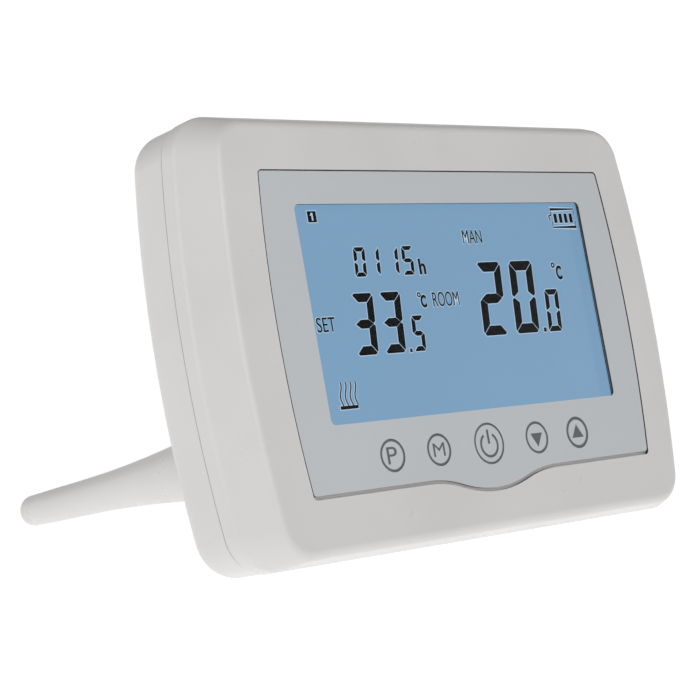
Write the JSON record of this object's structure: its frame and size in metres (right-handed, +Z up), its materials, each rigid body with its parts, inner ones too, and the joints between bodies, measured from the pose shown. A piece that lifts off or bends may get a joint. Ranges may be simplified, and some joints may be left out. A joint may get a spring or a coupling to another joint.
{
  "type": "room thermostat",
  "caption": "Battery-powered room thermostat with a large display, a row of round keys and a wavy panel edge, leaning back on two plug-in desk legs; also hangs on two wall screws.",
  "frame": {"origin": "middle of the whole object's footprint box, on the table that it stands on", "axes": "+Z up, +X to the right seen from the front, -Y towards the reader; the housing leans back by 14.35 degrees about X"},
  "size_m": [0.1348, 0.1024, 0.0902],
  "materials": {
    "white_plastic": "satin moulded white, fine spark texture",
    "panel_grey": "cool grey printed panel",
    "clear_lens": "clear polished lens",
    "lcd_blue": "backlit display glass",
    "milky_plastic": "translucent light guide",
    "black_plastic": "black moulded",
    "board_green": "solder mask",
    "steel": "zinc plated",
    "spring_steel": "nickel plated",
    "copper_wire": "enamelled wire",
    "cell_jacket": "printed battery jacket",
    "grey_rubber": "silicone rubber",
    "foam": "closed cell foam",
    "tape": "double-sided tape",
    "can_metal": "drawn can"
  },
  "bodies": {
    "housing": {"front_cover": "white_plastic", "rear_cover": "white_plastic", "faceplate": "panel_grey", "faceplate_tape": "tape", "display_window": "clear_lens", "switch_bodies": "black_plastic", "display_gasket": "foam", "lcd_panel": "lcd_blue", "backlight_guide": "milky_plastic", "backlight_leds": "milky_plastic", "contact_strip": "grey_rubber", "lcd_holder": "milky_plastic", "main_board": "board_green", "board_screws": "steel", "cover_screws": "steel", "microcontroller": "black_plastic", "crystal": "can_metal", "radio_module": "board_green", "radio_shield": "can_metal", "antenna_coil": "copper_wire", "capacitors": "can_metal", "resistors": "black_plastic", "temperature_sensor": "black_plastic", "battery_lower": "cell_jacket", "battery_upper": "cell_jacket", "battery_springs": "spring_steel", "battery_contacts": "spring_steel"},
    "leg_left": {"leg_left": "white_plastic"},
    "leg_right": {"leg_right": "white_plastic"},
    "battery_door": {"battery_door": "white_plastic"},
    "key_program": {"key_program": "panel_grey", "plunger_program": "black_plastic"},
    "key_mode": {"key_mode": "panel_grey", "plunger_mode": "black_plastic"},
    "key_power": {"key_power": "panel_grey", "plunger_power": "black_plastic"},
    "key_down": {"key_down": "panel_grey", "plunger_down": "black_plastic"},
    "key_up": {"key_up": "panel_grey", "plunger_up": "black_plastic"}
  },
  "joints": [
    {"name": "program_key_press", "type": "slide", "parent": "housing", "child": "key_program", "axis": [0, 0.9688, -0.2478], "range_m": [0, 0.0003], "stiffness_N_per_m": 1000, "springref_m": -0.001},
    {"name": "mode_key_press", "type": "slide", "parent": "housing", "child": "key_mode", "axis": [0, 0.9688, -0.2478], "range_m": [0, 0.0003], "stiffness_N_per_m": 1000, "springref_m": -0.001},
    {"name": "power_key_press", "type": "slide", "parent": "housing", "child": "key_power", "axis": [0, 0.9688, -0.2478], "range_m": [0, 0.0003], "stiffness_N_per_m": 1000, "springref_m": -0.001},
    {"name": "down_key_press", "type": "slide", "parent": "housing", "child": "key_down", "axis": [0, 0.9688, -0.2478], "range_m": [0, 0.0003], "stiffness_N_per_m": 1000, "springref_m": -0.001},
    {"name": "up_key_press", "type": "slide", "parent": "housing", "child": "key_up", "axis": [0, 0.9688, -0.2478], "range_m": [0, 0.0003], "stiffness_N_per_m": 1000, "springref_m": -0.001},
    {"name": "left_leg_pull", "type": "slide", "parent": "housing", "child": "leg_left", "axis": [0, 0.9688, -0.2478], "range_m": [0, 0.011]},
    {"name": "right_leg_pull", "type": "slide", "parent": "housing", "child": "leg_right", "axis": [0, 0.9688, -0.2478], "range_m": [0, 0.011]},
    {"name": "battery_door_hinge", "type": "hinge", "parent": "housing", "child": "battery_door", "pos_m": [0, -0.01779, 0.04222], "axis": [-1, 0, 0], "range_deg": [0, 60]}
  ]
}
